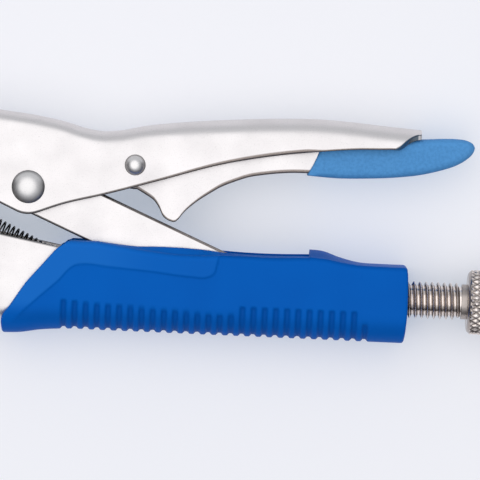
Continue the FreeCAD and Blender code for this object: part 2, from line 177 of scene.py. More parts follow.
def arc(centre, radius, start, end, spacing):
    """Points on a circle from one angle to another, in degrees."""
    steps = max(4, int(abs(math.radians(end - start)) * radius / spacing))
    angle = np.radians(np.linspace(start, end, steps + 1))
    return np.stack([centre[0] + radius * np.cos(angle), centre[1] + radius * np.sin(angle)], axis=1)


def height_along(*runs):
    """A function y(x) from polylines that follow each other with rising x."""
    path = np.concatenate([np.asarray(r, float) for r in runs])
    order = np.argsort(path[:, 0], kind="stable")
    path = path[order]
    return lambda x: np.interp(x, path[:, 0], path[:, 1])


def stations(low, high, spacing, *fine):
    """Places along a piece, with extra ones round each x in fine, which is pairs of (x, reach)."""
    xs = list(np.linspace(low, high, int((high - low) / spacing) + 1))
    for x, reach in fine:
        near = x + reach * np.sin(np.linspace(-math.pi / 2, math.pi / 2, 25))
        xs += [v for v in near if low <= v <= high]
    xs = np.unique(np.round(xs, 4))
    keep = [xs[0]]
    for x in xs[1:]:
        if x - keep[-1] > 0.03:
            keep.append(x)
    return np.array(keep)


def strip(first, second):
    """Faces between two rows of points, each row given by the points' numbers."""
    return list(zip(first[:-1], second[:-1], second[1:], first[1:]))


def row(i, side, skin, count):
    """The points' numbers on section i of a mirrored shell, which has two sides with two skins each."""
    start = ((2 * i + side) * 2 + skin) * count
    return range(start, start + count)


def ring_faces(rings, sides, first=0):
    """Faces of a solid made of rings of points, numbered from first, with a flat face at each end."""
    faces = []
    for i in range(rings - 1):
        for k in range(sides):
            a = first + i * sides
            j = (k + 1) % sides
            faces.append((a + k, a + sides + k, a + sides + j, a + j))
    last = first + (rings - 1) * sides
    return faces + [tuple(range(first, first + sides)), tuple(reversed(range(last, last + sides)))]


# ---- folded channels ----


def channel(node, body, xs, back, edge, half, sheet, bend, web, side, round_r, turn=None,
            fold_wear_and_shade=0.0, slant=0.0, wear_and_shade=1.0):
    """A channel folded from sheet, as sections along x. back and edge give the y of its back and of its
    bare edges, side is 1 where the back is at high y and -1 where it is at low y, and web is the x range
    in which there is a back: outside it there are two bare cheeks. bend, round_r, slant and wear_and_shade
    are the radius of the fold, that of the cut edge, how much lower the inner skin ends than the outer one,
    and how strongly the cut edge is darkened, as worn metal and painted shade; each is a number or a
    function of x. fold_wear_and_shade is how strongly the fold is darkened in the same way, and turn moves
    the finished points."""
    arc_n, wall_n = 4, 5
    fold_shares = (0.0, 0.05, 0.17, 0.3, 0.45, 0.6, 0.74, 0.87, 1.0)
    back_shares = (0.97, 0.6, 0.3, 0.0)
    count = arc_n + wall_n + len(fold_shares) + len(back_shares)
    cheek = count - len(back_shares)
    inside = half - sheet
    points, marks, webs, faces = [], [], [], []

    def skin(out, far, flip, fold, top, low, cut_r, has_web, mark):
        """One skin as rows of (z, height, mark), from the cut edge up to the middle of the back."""
        rise = low + cut_r
        rows = [(out - flip * cut_r * (1 - math.cos(q)), rise + cut_r * math.sin(q), 1.0)
                for q in np.radians(np.linspace(-90, 0, arc_n))]
        start = math.asin(min(1.0, max(0.0, (rise - top + fold) / fold))) if has_web else 0.0
        if start > 0.0:
            shift = far + fold * math.cos(start) - out
            rows = [(z + shift, h, m) for z, h, m in rows]
            rows += [(out + shift, rise, 1.0)] * wall_n
        else:
            wall_top = max(rise, top - fold)
            wall_low = min(rise + 0.8 * cut_r, wall_top)
            wall = max(wall_top - rise - 0.8 * cut_r - 0.15, 0.0)
            rows.append((out, min(rise + 0.44 * cut_r, wall_top), 0.7))
            rows += [(out, wall_low + wall * share, 0.0) for share in (0.0, 0.33, 0.67, 1.0)]
        for share in fold_shares:
            q = start + (math.pi / 2 - start) * share
            height = top - fold + fold * math.sin(q)
            near_cut = max(0.0, 1 - (q - start) * fold / (0.8 * cut_r)) if start > 0.0 else mark
            if has_web:
                rows.append((far + fold * math.cos(q), height, near_cut))
            else:
                rows.append((out - flip * fold * (1 - math.cos(q)), height, mark))
        return rows + [(far * share, top, 0.0) for share in back_shares]

    def at_x(value, x):
        """A number that may change along x."""
        return float(value(x)) if callable(value) else value

    for x in xs:
        has_web = web[0] <= x <= web[1]
        fold, cut_r = at_x(bend, x), at_x(round_r, x)
        top = side * float(back(x))
        low = min(side * float(edge(x)), top - (cut_r + 0.7 if has_web else 2 * cut_r + 0.1))
        low_in = low - at_x(slant, x)
        if has_web:
            low_in = min(low_in, top - sheet - 0.1)
            fold_in = min(max(fold - sheet, 0.3), BEND - SHEET)
            rows = skin(half, half - fold, 1, fold, top, low, cut_r, True, fold_wear_and_shade)
            rows += skin(inside, inside - fold_in, -1, fold_in, top - sheet, low_in, cut_r, True, 0.0)
        else:
            rows = skin(half, half - cut_r, 1, cut_r, top, low, cut_r, False, 1.0)
            rows += skin(inside, inside, -1, cut_r, top, low_in, cut_r, False, 0.0)
        section = [(x, side * h, z) for z, h, m in rows]
        points += section + [(x, y, -z) for x, y, z in section]
        # the marks darken the cut edges and the fold: worn metal with painted shade
        marks += [m * at_x(wear_and_shade, x) for z, h, m in rows] * 2
        webs.append(has_web)
    for i in range(len(xs) - 1):
        both = webs[i] and webs[i + 1]
        reach = count if both else cheek
        for h in (0, 1):
            outer, inner, next_outer, next_inner = [row(j, h, s, count) for j in (i, i + 1) for s in (0, 1)]
            faces += strip(outer[:reach], next_outer[:reach]) + strip(inner[:reach], next_inner[:reach])
            for k in (0,) if both else (0, cheek - 1):
                faces.append((outer[k], next_outer[k], next_inner[k], inner[k]))
        if webs[i] != webs[i + 1]:
            j = i + 1 if webs[i + 1] else i
            for h in (0, 1):
                faces += strip(row(j, h, 0, count)[cheek - 1:], row(j, h, 1, count)[cheek - 1:])
    for i in (0, len(xs) - 1):
        reach = count if webs[i] else cheek
        for h in (0, 1):
            faces += strip(row(i, h, 0, count)[:reach], row(i, h, 1, count)[:reach])
    if turn is not None:
        points = [turn(p) for p in points]
    make_piece(node + "_shell", points, faces, body, node, "nickel_sheet", sheet_nickel, edge=marks)


# ---- plates with rounded edges ----


def winding(path):
    """1 where a closed path runs anticlockwise, -1 where it runs clockwise."""
    x, y = path[:, 0], path[:, 1]
    return np.sign(np.sum(x * np.roll(y, -1) - np.roll(x, -1) * y))


def rounded_plate(name, path, half, radius, hole=None, grid=2.0, extra=(), lift=None, **piece):
    """A closed outline thickened about z = 0 with round edges. half(p) gives the half thickness and
    radius(p) the edge's radius at points p, and lift(p, gap) what to add to z at points that lie gap
    inside the outline. grid is the spacing of the inner points to mesh, and extra are more of them."""
    rings = 4  # rows of points across the round edge
    flat_inset = 0.12  # the first row on the flat lies this far inside the round edge
    clearance = 0.35  # and the other inner points at least this far
    batch = 400
    path = np.asarray(path, float)
    if winding(path) < 0:
        path = path[::-1]
    rims = [path] if hole is None else [path, np.asarray(hole, float)]
    normals = []
    for rim in rims:
        ahead = np.roll(rim, -1, axis=0) - np.roll(rim, 1, axis=0)
        normal = np.stack([-ahead[:, 1], ahead[:, 0]], axis=1)
        normal /= np.linalg.norm(normal, axis=1)[:, None] + 1e-9
        if rim is not path:
            normal *= -winding(rim)
        normals.append(normal)
    radii = [radius(rim) for rim in rims]
    near_radius = np.concatenate([(r + np.roll(r, -1)) / 2 for r in radii])
    starts = np.concatenate(rims)
    runs = np.concatenate([np.roll(rim, -1, axis=0) for rim in rims]) - starts

    def distance(p):
        """How far points are from the outline, and its edge's radius there."""
        best, near = np.zeros((2, len(p)))
        for k in range(0, len(p), batch):
            q = p[k:k + batch, None, :]
            t = np.clip(((q - starts) * runs).sum(-1) / ((runs * runs).sum(-1) + 1e-12), 0, 1)
            gap = np.linalg.norm(q - (starts + t[..., None] * runs), axis=-1)
            pick = gap.argmin(1)
            best[k:k + batch] = gap[np.arange(len(gap)), pick]
            near[k:k + batch] = near_radius[pick]
        return best, near

    def inside(p):
        """Whether points lie inside the outline and outside the hole."""
        count = np.zeros(len(p), int)
        for rim in rims:
            for a, b in zip(rim, np.roll(rim, -1, axis=0)):
                crossed = (a[1] > p[:, 1]) != (b[1] > p[:, 1])
                slope = (b[0] - a[0]) / (b[1] - a[1] + 1e-15)
                count += crossed & (p[:, 0] < a[0] + (p[:, 1] - a[1]) * slope)
        return count % 2 == 1

    pool = [starts]
    for step in range(1, rings + 2):
        share = 1 - math.cos(math.pi / 2 * min(step / rings, 1.0))
        for rim, normal, r in zip(rims, normals, radii):
            inset = r * share + (flat_inset if step > rings else 0.0)
            ring = rim + normal * inset[:, None]
            pool.append(ring[(distance(ring)[0] > inset - 0.02) & inside(ring)])
    low, high = path.min(0), path.max(0)
    gx, gy = np.meshgrid(np.arange(low[0], high[0], grid), np.arange(low[1], high[1], grid))
    cells = np.stack([gx.ravel(), gy.ravel()], axis=1)
    cells = np.concatenate([cells, np.asarray(extra, float).reshape(-1, 2)])
    cells = cells[inside(cells)]
    gap, near = distance(cells)
    pool.append(cells[gap > near + clearance])
    loops, start = [], 0
    for rim in rims:
        loops += [(start + k, start + (k + 1) % len(rim)) for k in range(len(rim))]
        start += len(rim)
    flat = [Vector(p) for p in np.concatenate(pool)]
    found, _, triangles, _, _, _ = delaunay_2d_cdt(flat, loops, [], 0, 1e-5)
    found = np.array([tuple(v) for v in found])
    middle = np.array([found[list(t)].mean(0) for t in triangles])
    triangles = [t for t, keep in zip(triangles, inside(middle)) if keep]
    gap, near = distance(found)
    reach = np.clip(1 - gap / np.maximum(near, 1e-6), 0, 1)
    z = half(found) - near * (1 - np.sqrt(np.maximum(0, 1 - reach ** 2)))
    if lift is not None:
        z = z + lift(found, gap)
    total = len(found)
    points = np.concatenate([np.column_stack([found, z]), np.column_stack([found, -z])])
    faces = [tuple(t) for t in triangles] + [tuple(v + total for v in reversed(t)) for t in triangles]
    edges = dict.fromkeys((t[k], t[(k + 1) % 3]) for t in triangles for k in range(3))
    faces += [(a, a + total, b + total, b) for a, b in edges if (b, a) not in edges]
    marks = np.tile(np.where(gap < 1e-4, 1.0, reach * 0.6), 2)
    make_piece(name, points, faces, edge=marks, **piece)


# ---- materials ----


class Nodes:
    """The nodes of a material or of the world, and short ways to add to them."""

    def __init__(self, owner, vector):
        owner.use_nodes = True
        self.tree = owner.node_tree
        self.place = self.add("TexCoord").outputs[vector]

    def connect(self, socket, value):
        """Links a socket to another node's output, or sets its number or colour."""
        if isinstance(value, bpy.types.NodeSocket):
            self.tree.links.new(value, socket)
        else:
            socket.default_value = (*value, 1) if socket.type == "RGBA" else value

    def feed(self, node, **sockets):
        """Connects sockets by name, with _ for a space."""
        for name, value in sockets.items():
            self.connect(node.inputs[name.replace("_", " ")], value)
        return node

    def add(self, kind, settings=(), **sockets):
        node = self.tree.nodes.new("ShaderNode" + kind)
        for name, value in settings:
            setattr(node, name, value)
        return self.feed(node, **sockets)

    def noise(self, scale, detail=3.0, rough=0.55, stretch=None):
        place = self.place
        if stretch is not None:
            place = self.add("Mapping", Vector=place, Scale=stretch).outputs["Vector"]
        node = self.add("TexNoise", Vector=place, Scale=scale, Detail=detail, Roughness=rough)
        return node.outputs["Fac"]

    def spread(self, value, low, high, to_low=0.0, to_high=1.0, shape="LINEAR"):
        node = self.add("MapRange", [("interpolation_type", shape)], Value=value,
                        From_Min=low, From_Max=high, To_Min=to_low, To_Max=to_high)
        return node.outputs["Result"]

    def maths(self, operation, first, second):
        """A Math node's value, kept between 0 and 1 except for a sum."""
        node = self.add("Math", [("operation", operation), ("use_clamp", operation != "ADD")])
        for socket, value in zip(node.inputs, (first, second)):
            self.connect(socket, value)
        return node.outputs["Value"]

    def mix(self, share, first, second):
        return self.add("Mix", [("data_type", "RGBA")], Factor=share, A=first, B=second).outputs["Result"]

    def axis(self, letter):
        return self.add("SeparateXYZ", Vector=self.place).outputs[letter]

    def along_x(self, low, high):
        """0 at x = low and 1 at x = high, in the frame's metres."""
        return self.spread(self.axis("X"), low, high)

    def height(self):
        """Distance from the tool's middle plane, in metres."""
        return self.maths("ABSOLUTE", self.maths("ADD", self.axis("Z"), -ORIGIN.z), 0.0)

    def attribute(self, name):
        return self.add("Attribute", [("attribute_name", name)]).outputs["Fac"]

    def bump(self, height, strength, distance):
        return self.add("Bump", Strength=strength, Distance=distance, Height=height).outputs["Normal"]


def paint(name, colour, roughness, metallic=0.0, specular=0.5):
    """A new material, its nodes and its Principled shader."""
    material = bpy.data.materials.new(name)
    n = Nodes(material, "Object")
    shader = n.tree.nodes["Principled BSDF"]
    n.feed(shader, Base_Color=colour, Roughness=roughness, Metallic=metallic, Specular_IOR_Level=specular)
    return material, n, shader


def dimmed(colour, share):
    return tuple(share * c for c in colour)


# where the cut edges' colour, worn metal darkened with painted shade, changes from the first colour to the
# second, and then to the third
EDGE_MIDDLE = (-0.03, 0.03)
EDGE_TAIL = (ORIGIN.x + 144 * MM, ORIGIN.x + 147 * MM)


def nickel(name, tone, roughness, grain, edge_wear_and_shade_colours=None, ground=None, dome=None):
    """Nickel plate over tumbled steel: fine speckle, slow clouds in tone, and cut edges darkened as worn
    metal and painted shade. The edge colours are those of the darkened edges at the front, in the middle
    and at the movable handle's tail, ground stretches the marks of grinding, and dome is the two heights
    above the tool's middle plane between which the painted shade round the foot of a rivet's head fades
    out."""
    material, n, shader = paint(name, tone, roughness, metallic=1.0)
    speckle = n.noise(grain, 4.0, 0.7)
    clouds = n.noise(90.0, 3.0, 0.5)
    colour = n.mix(n.spread(clouds, 0.3, 0.7, 0.0, 0.45), tone, dimmed(tone, 0.86))
    colour = n.mix(n.spread(speckle, 0.56, 0.72, 0.0, 0.55), colour, dimmed(tone, 0.55))
    if edge_wear_and_shade_colours is not None:
        front, middle, tail = edge_wear_and_shade_colours
        # painted shade over worn metal: the cut edges get a darker colour that stands in for the shade on
        # their faces
        edge = n.spread(n.attribute("cut_edge"), 0.2, 0.85)
        ragged = n.maths("MULTIPLY", edge, n.spread(speckle, 0.35, 0.6, 1.0, 0.8))
        edge_tone = n.mix(n.along_x(*EDGE_MIDDLE), front, middle)
        colour = n.mix(ragged, colour, n.mix(n.along_x(*EDGE_TAIL), edge_tone, tail))
    if dome is not None:
        # painted shade: each rivet's head darkens towards its foot on the plate, mottled by the clouds
        painted_foot_shade = n.spread(n.height(), *dome, 1.0, 0.0)
        painted_foot_shade = n.maths("MULTIPLY", painted_foot_shade, n.spread(clouds, 0.3, 0.65, 0.7, 1.0))
        colour = n.mix(painted_foot_shade, colour, dimmed(tone, 0.15))
    height = speckle
    if ground is not None:
        height = n.maths("ADD", speckle, n.noise(900.0, 2.0, 0.5, ground))
    n.feed(shader, Base_Color=colour, Normal=n.bump(height, 0.35, 0.00004),
           Roughness=n.spread(clouds, 0.25, 0.75, roughness - 0.06, roughness + 0.07))
    return material


def moulded(name, colour, deep, roughness, grain, depth, specular, relief=None, rim=None, sheen=0.0):
    """Coloured plastic: slow change of shade, matt specks and a fine skin. relief is the colours of its
    grooves, darkened as painted shade, and of its lighter raised parts; rim is the darker colour painted
    along its edges as shade, also strewn over it in fine specks."""
    material, n, shader = paint(name, colour, roughness, specular=specular)
    clouds = n.noise(35.0, 2.0, 0.5)
    skin = n.noise(grain, 3.0, 0.6)
    shade = n.mix(n.spread(clouds, 0.3, 0.7), colour, deep)
    rubbed = tuple(min(1.0, 1.2 * c + 0.008) for c in colour)
    if relief is not None:
        height = n.attribute("cut_edge")
        # painted shade in the grooves, and a lighter colour on the raised parts
        shade = n.mix(n.spread(height, 0.0, 0.5, 1.0, 0.0), shade, relief[0])
        shade = n.mix(n.spread(height, 0.5, 1.0), shade, relief[1])
    shade = n.mix(n.spread(skin, 0.6, 0.8, 0.0, 0.3), shade, rubbed)
    if rim is not None:
        # painted shade: the rim colour darkens the sleeve along its rounded edges, and the same colour is
        # also strewn as fine specks
        shade = n.mix(n.spread(n.attribute("cut_edge"), 0.2, 1.0, 0.0, 0.75), shade, rim)
        shade = n.mix(n.spread(n.noise(1000.0, 3.0, 0.6), 0.42, 0.62, 0.0, 0.4), shade, rim)
    n.feed(shader, Base_Color=shade, Normal=n.bump(skin, 0.3, depth),
           Roughness=n.spread(skin, 0.3, 0.7, roughness - 0.06, roughness + 0.08),
           Sheen_Weight=sheen, Sheen_Roughness=0.3)
    return material


# cut-edge colours: the near black front and the bluish tail are painted shade, the brown middle is worn
# metal with painted shade
edge_wear_and_shade = ((0.045, 0.042, 0.045), (0.21, 0.17, 0.15), (0.10, 0.145, 0.19))
forged_edges = ((0.36, 0.35, 0.34),) * 3
# painted shade on the screw's thread flanks
thread_flank_shade = ((0.12, 0.095, 0.082),) * 3
# the heights over which the painted shade round the rivets' feet fades out
dome_foot = (CHANNEL_OUTSIDE * MM, (CHANNEL_OUTSIDE + 0.8) * MM)
sheet_nickel = nickel("sheet_nickel", (0.735, 0.705, 0.70), 0.38, 3200.0, edge_wear_and_shade)
forged_nickel = nickel("forged_nickel", (0.70, 0.68, 0.675), 0.36, 2400.0, forged_edges, (1.0, 12.0, 1.0))
rivet_nickel = nickel("rivet_nickel", (0.75, 0.73, 0.72), 0.32, 2600.0, dome=dome_foot)
plain_steel = nickel("plain_steel", (0.50, 0.49, 0.48), 0.36, 2600.0)
screw_nickel = nickel("screw_nickel", (0.90, 0.81, 0.755), 0.20, 2800.0, thread_flank_shade)
collar_nickel = nickel("collar_nickel", (0.46, 0.41, 0.38), 0.33, 2800.0)
spring_black = nickel("spring_black", (0.09, 0.085, 0.08), 0.28, 2600.0)
grip_blue = moulded("grip_blue", (0.0, 0.116, 0.51), (0.0, 0.102, 0.465), 0.50, 2600.0, 0.00004, 0.04,
                    relief=((0.0, 0.078, 0.36), (0.008, 0.145, 0.55)), sheen=0.07)
sleeve_blue = moulded("sleeve_blue", (0.101, 0.332, 0.68), (0.083, 0.297, 0.625), 0.62, 1500.0, 0.00008,
                      0.12, rim=(0.053, 0.21, 0.47))


# ---- sheet metal ----

HANDLE_EAR = 9.4
HANDLE_BULGE = 8.1
HANDLE_TAIL_X = 152.7


def movable_handle():
    run = math.dist(HANDLE_PIVOT, LINK_PIVOT)
    heading = math.atan2(LINK_PIVOT[1] - HANDLE_PIVOT[1], LINK_PIVOT[0] - HANDLE_PIVOT[0])
    down = math.degrees(heading) - 90 + math.degrees(math.asin((HANDLE_EAR - HANDLE_BULGE) / run))
    back = height_along(
        arc(HANDLE_PIVOT, HANDLE_EAR, 180, 84, 0.2),
        through([(7.8, 53.4), (27.5, 51.2), (38.9, 49.9), (47.1, 48.4), (53.1, 46.8), (58.3, 46.1),
                 (63.0, 46.5), (70.8, 48.2), (82.1, 49.8), (93.4, 50.9), (110.6, 52.1), (122.5, 52.4),
                 (133.3, 51.9), (140.9, 51.3), (HANDLE_TAIL_X, 50.5)]))
    edge = height_along(
        arc(HANDLE_PIVOT, HANDLE_EAR, 180, 360 + down, 0.2),
        arc(LINK_PIVOT, HANDLE_BULGE, down, -70, 0.2),
        through([(40.6, 21.55), (46.8, 23.9), (59.4, 27.4), (76.0, 32.4), (94.0, 37.9), (109.0, 41.0),
                 (122.9, 42.9), (133.7, 44.0), (143.6, 44.45), (145.4, 44.6), (146.4, 45.2), (147.8, 46.55),
                 (149.5, 47.85), (151.1, 48.65), (HANDLE_TAIL_X, 49.0)]))
    ear_x = HANDLE_PIVOT[0] - HANDLE_EAR
    fine = [(ear_x, 6.0), (37.0, 6.0), (58.0, 8.0), (148.0, 5.0), (151.7, 0.5)]
    xs = stations(ear_x + 0.05, HANDLE_TAIL_X, 1.2, *fine)

    def bend(x):
        return BEND + 0.3 + 1.7 * smooth_step(40.0, 100.0, x)

    def round_r(x):
        return 0.45 + 0.3 * smooth_step(60.0, 115.0, x) - 0.4 * smooth_step(118.0, 125.0, x)

    def slant(x):
        return 1.2 * smooth_step(144.0, 148.0, x)

    # the painted shade and wear on the cut edge fade at the tail's very end
    def wear_and_shade(x):
        return 1 - 0.75 * smooth_step(151.6, 151.9, x)

    channel("movable_handle", "handle", xs, back, edge, CHANNEL_OUTSIDE, SHEET, bend, (7.8, FAR), 1,
            round_r, slant=slant, wear_and_shade=wear_and_shade)


LEVER_EAR = 7.3
LEVER_TAIL_X = 163.5
LEVER_OUTSIDE = 4.6
LEVER_SHEET = 1.8
LEVER_BEND = 2.6


def release_lever():
    back = height_along(
        arc(LEVER_PIVOT, LEVER_EAR, 180, 105, 0.2),
        through([(66.6, 43.75), (75.0, 45.4), (82.0, 46.8), (95.0, 48.0), (110.0, 48.7), (120.0, 48.6),
                 (132.0, 47.9), (152.4, 46.9), (159.0, 46.9), (LEVER_TAIL_X, 45.6)]))
    edge = height_along(
        arc(LEVER_PIVOT, LEVER_EAR, 180, 275, 0.2),
        through([(69.2, 29.4), (71.7, 28.0), (74.4, 26.2), (76.0, 24.0), (77.3, 21.6), (78.6, 20.7),
                 (80.2, 20.15)], 0.2),
        through([(80.9, 20.25), (81.8, 21.1), (82.8, 22.5), (86.9, 26.4), (90.6, 29.0), (94.3, 31.3),
                 (98.0, 32.9), (101.8, 34.3), (107.4, 35.4), (113.0, 36.1), (126.5, 36.3), (137.8, 36.6),
                 (145.4, 37.2), (152.9, 38.3), (158.5, 39.8), (LEVER_TAIL_X, 41.8)], 0.3))
    ear_x = LEVER_PIVOT[0] - LEVER_EAR
    xs = stations(ear_x + 0.05, LEVER_TAIL_X, 1.0, (ear_x, 4.0), (77.5, 5.0), (82.0, 4.0))

    def round_r(x):
        return 0.7 - 0.3 * smooth_step(76.0, 79.0, x) + 0.3 * smooth_step(80.0, 95.0, x)

    channel("release_lever", "lever", xs, back, edge, LEVER_OUTSIDE, LEVER_SHEET, LEVER_BEND,
            (66.5, FAR), 1, round_r)


LINK_HEIGHT = 7.05
LINK_TAPER = 63.0
LINK_TIP = 3.8
LINK_OUTSIDE = 5.7
LINK_BEND = 0.6


def toggle_link():
    length = math.dist(LINK_PIVOT, LINK_FOOT)
    angle = math.atan2(LINK_FOOT[1] - LINK_PIVOT[1], LINK_FOOT[0] - LINK_PIVOT[0])
    upper = height_along(
        arc((0, 0), LINK_HEIGHT, 180, 90, 0.2),
        [(0.1, LINK_HEIGHT), (LINK_TAPER, LINK_HEIGHT)],
        arc((length, 0), LINK_TIP, 100, 0, 0.15))
    ends = [(-LINK_HEIGHT, 5.0), (length + LINK_TIP, 3.0), (LINK_TAPER, 1.0)]
    xs = stations(-LINK_HEIGHT + 0.05, length + LINK_TIP - 0.05, 2.5, *ends)

    def turn(p):
        return (LINK_PIVOT[0] + p[0] * math.cos(angle) - p[1] * math.sin(angle),
                LINK_PIVOT[1] + p[0] * math.sin(angle) + p[1] * math.cos(angle), p[2])

    channel("toggle_link", "link", xs, lambda x: -upper(x), upper, LINK_OUTSIDE, SHEET, LINK_BEND,
            (5.0, 56.0), -1, round_r=0.22, turn=turn, fold_wear_and_shade=0.9)


FIXED_EAR = 8.5
CHANNEL_BACK = -10.5
CHANNEL_RIM = 8.8
CHANNEL_FRONT_X = -12.0
CHANNEL_REAR_X = 125.0


def fixed_handle():
    rim = height_along(
        [(CHANNEL_FRONT_X, -2.0), (-11.0, 1.6)],
        arc(JAW_PIVOT, FIXED_EAR, 180, 80, 0.2),
        [(62.0, CHANNEL_RIM), (CHANNEL_REAR_X, CHANNEL_RIM)])
    xs = stations(CHANNEL_FRONT_X, CHANNEL_REAR_X, 2.5, (-8.5, 4.0), (62.0, 1.0))
    channel("fixed_handle", "fixed_frame", xs, lambda x: CHANNEL_BACK, rim, CHANNEL_OUTSIDE, SHEET, BEND,
            (-FAR, FAR), -1, round_r=0.3, wear_and_shade=0.6)


# ---- jaws ----

NOSE_X = -59.2
MOUTH_BACK_X = -13.2
SPRING_HOOK = (12.5, 22.95)
LUG_HALF = 1.5


def mouth(side):
    """One jaw's gripping edge from nose to hub: fine teeth, curved teeth, then the wire cutter."""
    points = [(NOSE_X + 0.5, 0.0)]

    def teeth(low, high, count, height):
        for i in range(count):
            for share, rise in ((0.0, 0.0), (0.5, 0.7)):
                x = low + (i + share) * (high - low) / count
                points.append((x, height(x) + rise))

    def hollow(x):
        radius = 17.125
        return math.sqrt(radius ** 2 - (x + 35.0) ** 2) - radius + 4.0

    teeth(-58.0, -46.0, 8, lambda x: 0.0)
    teeth(-46.0, -24.0, 12, hollow)
    points += [(-24.0, 0.0), (-20.5, 0.0), (-18.0, 2.6), (-15.5, 0.0)]
    return [(x, JAW_PIVOT[1] + side * (0.16 + y)) for x, y in points]


def jaw_half(p):
    """Half thickness: wide in the mouth, thinner between the handles' sides."""
    return 6.5 - 0.8 * smooth_step(MOUTH_BACK_X - 1.0, MOUTH_BACK_X - 0.2, p[:, 0])


def jaw_radius(p):
    """Edge radius: crisp at the gripping edges, generous on the back."""
    from_mouth = np.abs(p[:, 1] - JAW_PIVOT[1])
    return np.where(p[:, 0] < MOUTH_BACK_X, 0.25 + 1.9 * smooth_step(4.2, 7.0, from_mouth), 0.8)


def column(x, low, high):
    """Points to mesh where a jaw gets thinner, just before x."""
    return [(x + d, y) for d in (-1.0, -0.8, -0.6, -0.4, -0.2) for y in np.arange(low, high, 1.0)]


def movable_jaw():
    ear = arc(HANDLE_PIVOT, 6.0, -7, 175, 0.6)
    path = np.concatenate([
        mouth(1),
        [(-13.6, JAW_PIVOT[1] + 0.16)],
        arc(JAW_PIVOT, 9.5, 181, 356, 0.6),
        through([(9.5, 12.2), (9.35, 17.0), (9.45, 20.6)], 0.7),
        arc(SPRING_HOOK, 3.6, 212, 490, 0.5),
        through([(10.3, 26.2), (11.5, 34.0), ear[0]], 0.7)[:-1],
        ear,
        through([(0.7, 43.6), (-0.6, 39.5), (-4.0, 33.6), (-12.0, 30.2), (-25.0, 27.6), (-38.0, 24.2),
                 (-49.0, 19.8), (-56.3, 15.4), (NOSE_X, 12.7)], 0.9),
    ])

    def half(p):
        away = np.hypot(p[:, 0] - SPRING_HOOK[0], p[:, 1] - SPRING_HOOK[1])
        return LUG_HALF + (jaw_half(p) - LUG_HALF) * smooth_step(3.75, 4.1, away)

    rings = [tuple(q) for r in (3.7, 3.85, 4.0, 4.15) for q in arc(SPRING_HOOK, r, 0, 355, 0.5)]
    rounded_plate("movable_jaw_forging", path, half, jaw_radius, hole=arc(SPRING_HOOK, 1.2, 0, 345, 0.3),
                  extra=column(MOUTH_BACK_X, 11.0, 32.0) + rings, body="jaw", stands_for="movable_jaw",
                  slot="nickel_forging", material=forged_nickel)


def fixed_jaw():
    path = np.concatenate([
        mouth(-1),
        [(-9.9, JAW_PIVOT[1] - 0.16)],
        arc(JAW_PIVOT, 9.9, 181, 318, 0.6),
        [(11.0, 4.0), (24.0, -2.0), (26.0, -5.0), (26.0, -7.4), (7.0, -7.4), (-12.3, -7.4),
         (-12.3, CHANNEL_BACK)],
        through([(-13.0, CHANNEL_BACK + 0.02), (-21.0, -10.0), (-33.0, -7.2), (-45.0, -1.2), (-54.0, 5.2),
                 (NOSE_X, 9.9)], 0.9),
    ])
    rounded_plate("fixed_jaw_forging", path, jaw_half, jaw_radius, body="fixed_frame",
                  extra=column(MOUTH_BACK_X, -10.0, 11.0), stands_for="fixed_jaw", slot="nickel_forging",
                  material=forged_nickel)


# ---- sleeve on the lever ----


def lever_sleeve():
    path = np.concatenate([
        through([(119.4, 35.7), (126.5, 35.25), (137.8, 35.55), (145.4, 36.15), (152.9, 37.25),
                 (158.5, 38.7), (163.6, 40.6), (166.3, 42.3), (168.0, 44.0), (168.75, 45.5)], 0.6)[:-1],
        through([(168.75, 46.0), (168.1, 47.1), (166.6, 47.9), (164.0, 48.25), (160.0, 48.2), (152.4, 47.7),
                 (140.0, 48.25), (130.0, 48.9), (121.9, 49.4)], 0.7)[:-1],
        through([(122.4, 49.0), (122.6, 43.5), (121.3, 39.6), (119.5, 36.1)], 0.7),
    ])

    def radius(p):
        return 0.5 + 1.7 * smooth_step(120.5, 124.5, p[:, 0])

    def lift(p, gap):
        x, y = p[:, 0], p[:, 1]
        wave = 0.05 * np.sin(x * 0.9 + np.sin(y * 0.8)) + 0.04 * np.sin(y * 1.1 + x * 0.31)
        return wave * np.clip(gap / 2, 0, 1) - 0.1

    def half(p):
        return np.full(len(p), 5.6)

    rounded_plate("lever_sleeve_skin", path, half, radius, grid=1.2, lift=lift, body="lever",
                  stands_for="lever_sleeve", slot="blue_sleeve", material=sleeve_blue)


# ---- grip ----

GRIP_HALF = 10.4
SLOT_HALF = 6.02
SLOT_LOW = 8.86
GRIP_START = 30.7
GRIP_END = 150.7
SLOT_END = 121.1
RIB_PITCH = 3.31
RIB_START = 49.0
RIB_COUNT = 28


def table(*pairs):
    """A smooth function y(x) through the pairs."""
    xs, ys = zip(*pairs)
    line = through(pairs, 0.5)
    return lambda x: np.interp(x, line[:, 0], line[:, 1], ys[0], ys[-1])


front_edge = table((-14.9, 30.7), (-10.2, 30.75), (-5.5, 33.7), (0.3, 37.3), (5.9, 42.0), (12.2, 47.6),
                   (13.6, 49.6))
lip_inner = table((49.0, 13.7), (56.4, 13.2), (62.0, 12.85), (67.5, 12.6), (74.0, 12.75), (84.0, 12.7),
                  (90.0, 12.4), (95.5, 11.9), (102.0, 11.6), (110.0, 11.55), (121.2, 11.9))
lip_outer = table((49.0, 13.6), (56.4, 13.1), (62.0, 12.6), (67.5, 12.05), (75.0, 11.45), (82.0, 10.95),
                  (89.0, 11.0), (96.0, 11.35), (102.0, 11.35), (110.0, 11.3), (121.2, 11.75))
crown = table((121.0, 13.7), (124.8, 13.45), (129.9, 11.8), (136.4, 10.35), (142.0, 10.1), (150.8, 10.05))
shoulder = table((121.0, 12.0), (126.0, 11.6), (131.0, 10.7), (136.4, 10.05), (142.0, 9.95), (150.8, 9.95))
